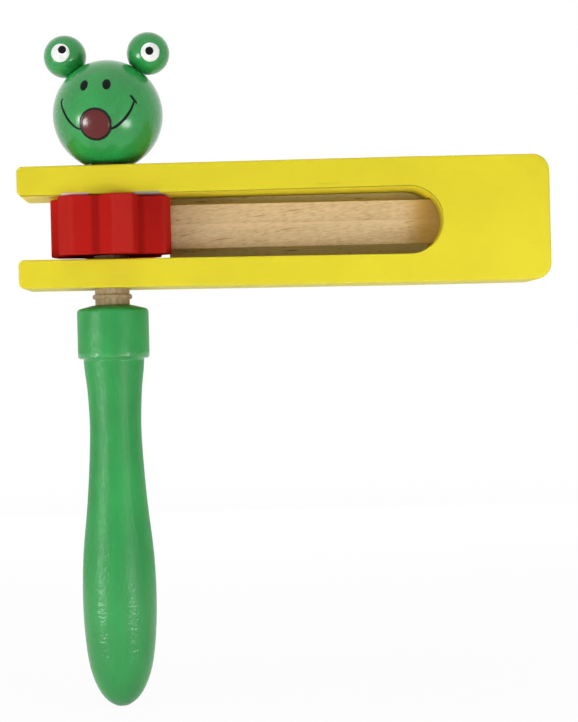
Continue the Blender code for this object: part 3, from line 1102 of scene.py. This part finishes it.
class RATTLE_OT_frame(bpy.types.Operator):
    """Paints the forked frame yellow"""

    bl_idname = "rattle.frame"
    bl_label = "Paint the frame"

    def execute(self, context):
        yellow = tuple(context.scene.rattle_paint.yellow)
        primer = tuple(context.scene.rattle_paint.primer)
        look = sprayed_paint(
            "frame yellow",
            yellow,
            roughness=0.46,
            wear=(0.0007, 0.40),
            grain=(70.0, 900.0, 900.0),
            shine=0.18,
            primer=primer,
        )
        finished_copy("frame", look, "frame", 50.0)
        return {"FINISHED"}


class RATTLE_OT_cog(bpy.types.Operator):
    """Paints the cog red"""

    bl_idname = "rattle.cog"
    bl_label = "Paint the cog"

    def execute(self, context):
        red = tuple(context.scene.rattle_paint.red)
        look = sprayed_paint(
            "cog red",
            red,
            roughness=0.42,
            wear=(0.0005, 0.15),
            grain=(800.0, 800.0, 90.0),
            shine=0.0,
            teeth=(COG_VALLEY, COG_TIP),
        )
        finished_copy("cog", look, "handle", 50.0)
        return {"FINISHED"}


class RATTLE_OT_bare_wood(bpy.types.Operator):
    """Gives the bare pieces their beech, each along its own grain"""

    bl_idname = "rattle.bare_wood"
    bl_label = "Finish the bare wood"

    def execute(self, context):
        wood = context.scene.rattle_wood
        pale, tan, fleck = tuple(wood.pale), tuple(wood.tan), tuple(wood.fleck)
        level = (0.0, 0.0, 0.0)
        tilt = (0.0, math.radians(7.0), 0.0)
        end_shade = (SLOT_END - 0.0130, SLOT_END - 0.0045, tuple(wood.end_shade))
        look = beech("tongue beech", pale, tan, fleck, tilt, 0.52, end_shade=end_shade, ring=RING_HEIGHT)
        finished_copy("tongue", look, "tongue", 50.0)
        # The slat's lighter wood is painted light, for the light that the slot keeps from it.
        slat_brightened = (tuple(wood.slat_brightened), shaded(wood.slat_brightened, 0.88), fleck)
        look = beech("slat beech", *slat_brightened, level, 0.60, figure=0.12)
        finished_copy("backing_slat", look, "frame", 50.0)
        # Painted shade: the shaft and its ring get the beech a third darker, for the shade between the
        # cog and the handle.
        shade_beech = (shaded(pale, 0.66), shaded(tan, 0.66), shaded(fleck, 0.70))
        # Painted shade: the head washer gets the beech darkened to a third, for the shade under the
        # head's base.
        dark = (shaded(pale, 0.35), shaded(tan, 0.35), shaded(fleck, 0.5))
        look = beech("head washer beech", *dark, level, 0.60)
        finished_copy("head_washer", look)
        look = beech("shaft beech", *shade_beech, level, 0.60, upright=True)
        finished_copy("shaft", look)
        look = beech("ring beech", *shade_beech, level, 0.60, upright=True)
        finished_copy("shaft_ring", look)
        for node in ("eye_peg_left", "eye_peg_right"):
            look = beech(node.replace("_", " ") + " beech", pale, tan, fleck, level, 0.60, upright=True)
            finished_copy(node, look)
        return {"FINISHED"}


class RATTLE_OT_eyes(bpy.types.Operator):
    """Paints a white and a pupil on each eye bead"""

    bl_idname = "rattle.eyes"
    bl_label = "Paint the eyes"

    def execute(self, context):
        face = context.scene.rattle_face
        paint = context.scene.rattle_paint
        white = enamel("eye white enamel", tuple(paint.white), 0.30, 0.30)
        black = enamel("pupil enamel", tuple(paint.black), 0.28, 0.12)
        # Turn and rise of each white and each pupil, in degrees
        looks = (
            ("left", LEFT_BEAD, (-8.5, 2.8), (-2.7, 10.0)),
            ("right", RIGHT_BEAD, (8.7, -5.2), (5.9, -2.5)),
        )
        for side, ball, white_spot, pupil_spot in looks:
            white_spot = tuple(math.radians(angle) for angle in white_spot)
            pupil_spot = tuple(math.radians(angle) for angle in pupil_spot)
            round_white = (face.white_radius, face.white_radius)
            round_pupil = (face.pupil_radius, face.pupil_radius)
            name = "eye_white_" + side
            paint_dab(name, ball, white_spot, round_white, 0.0, face.film, EYE_WHITE_CROWN, white)
            raised = (ball[0], ball[1] + face.film)
            name = "pupil_" + side
            paint_dab(name, raised, pupil_spot, round_pupil, 0.0, face.film, PUPIL_CROWN, black)
        return {"FINISHED"}


class RATTLE_OT_nose(bpy.types.Operator):
    """Paints the nose with its black outline"""

    bl_idname = "rattle.nose"
    bl_label = "Paint the nose"

    def execute(self, context):
        face = context.scene.rattle_face
        paint = context.scene.rattle_paint
        spot = (face.turn, face.nose_rise)
        black = enamel("nose outline enamel", tuple(paint.black), 0.22, 0.28)
        maroon = enamel("nose enamel", tuple(paint.maroon), 0.19, 0.48)
        outer = face.nose_radius
        inner = outer - face.nose_outline
        rim = (outer, outer)
        paint_dab("nose_outline", HEAD_BALL, spot, rim, 0.0, face.film, NOSE_OUTLINE_CROWN, black)
        raised = (HEAD_CENTRE, HEAD_RADIUS + face.film)
        paint_dab("nose", raised, spot, (inner, inner), 0.0, face.film, NOSE_CROWN, maroon)
        return {"FINISHED"}


class RATTLE_OT_nostrils(bpy.types.Operator):
    """Paints the two nostrils"""

    bl_idname = "rattle.nostrils"
    bl_label = "Paint the nostrils"

    def execute(self, context):
        face = context.scene.rattle_face
        black = enamel("nostril enamel", tuple(context.scene.rattle_paint.black), 0.34, 0.12)
        sizes = (face.nostril_width, face.nostril_height)
        for side, sign, lean in (("left", -1, 1.0), ("right", 1, -5.0)):
            spot = (face.turn + sign * face.nostril_turn, face.nostril_rise)
            name = "nostril_" + side
            tilt = math.radians(lean)
            paint_dab(name, HEAD_BALL, spot, sizes, tilt, face.film, NOSTRIL_CROWN, black)
        return {"FINISHED"}


class RATTLE_OT_smile(bpy.types.Operator):
    """Paints the smile's two strokes and the tick at its right end"""

    bl_idname = "rattle.smile"
    bl_label = "Paint the smile"

    def execute(self, context):
        face = context.scene.rattle_face
        black = enamel("smile enamel", tuple(context.scene.rattle_paint.black), 0.34, 0.12)
        strokes = (("smile_left", SMILE_LEFT), ("smile_right", SMILE_RIGHT), ("smile_tick", SMILE_TICK))
        for name, points in strokes:
            paint_line(name, HEAD_BALL, points, face.turn, face.smile_width, face.film, black)
        return {"FINISHED"}


class RATTLE_PT_panel(bpy.types.Panel):
    """Lists the rattle's finishes in the sidebar"""

    bl_label = "Ratchet rattle"
    bl_idname = "RATTLE_PT_panel"
    bl_space_type = "VIEW_3D"
    bl_region_type = "UI"
    bl_category = "Rattle"

    def draw(self, context):
        for step in STEPS:
            self.layout.operator(step.bl_idname)
        for group in ("rattle_paint", "rattle_wood", "rattle_face", "rattle_stage"):
            settings = getattr(context.scene, group)
            box = self.layout.box()
            for setting in settings.bl_rna.properties:
                if setting.identifier not in ("rna_type", "name"):
                    box.prop(settings, setting.identifier)


STEPS = (
    RATTLE_OT_stage,
    RATTLE_OT_green_pieces,
    RATTLE_OT_frame,
    RATTLE_OT_cog,
    RATTLE_OT_bare_wood,
    RATTLE_OT_eyes,
    RATTLE_OT_nose,
    RATTLE_OT_nostrils,
    RATTLE_OT_smile,
)
GROUPS = (
    ("rattle_paint", RATTLE_PG_paint),
    ("rattle_wood", RATTLE_PG_wood),
    ("rattle_face", RATTLE_PG_face),
    ("rattle_stage", RATTLE_PG_stage),
)


def register():
    for name, group in GROUPS:
        bpy.utils.register_class(group)
        setattr(bpy.types.Scene, name, bpy.props.PointerProperty(type=group))
    for step in STEPS:
        bpy.utils.register_class(step)
    bpy.utils.register_class(RATTLE_PT_panel)


def unregister():
    bpy.utils.unregister_class(RATTLE_PT_panel)
    for step in reversed(STEPS):
        bpy.utils.unregister_class(step)
    for name, group in reversed(GROUPS):
        delattr(bpy.types.Scene, name)
        bpy.utils.unregister_class(group)


def main():
    register()
    bpy.ops.rattle.stage()
    bpy.ops.rattle.green_pieces()
    bpy.ops.rattle.frame()
    bpy.ops.rattle.cog()
    bpy.ops.rattle.bare_wood()
    bpy.ops.rattle.eyes()
    bpy.ops.rattle.nose()
    bpy.ops.rattle.nostrils()
    bpy.ops.rattle.smile()


if __name__ == "__main__":
    main()
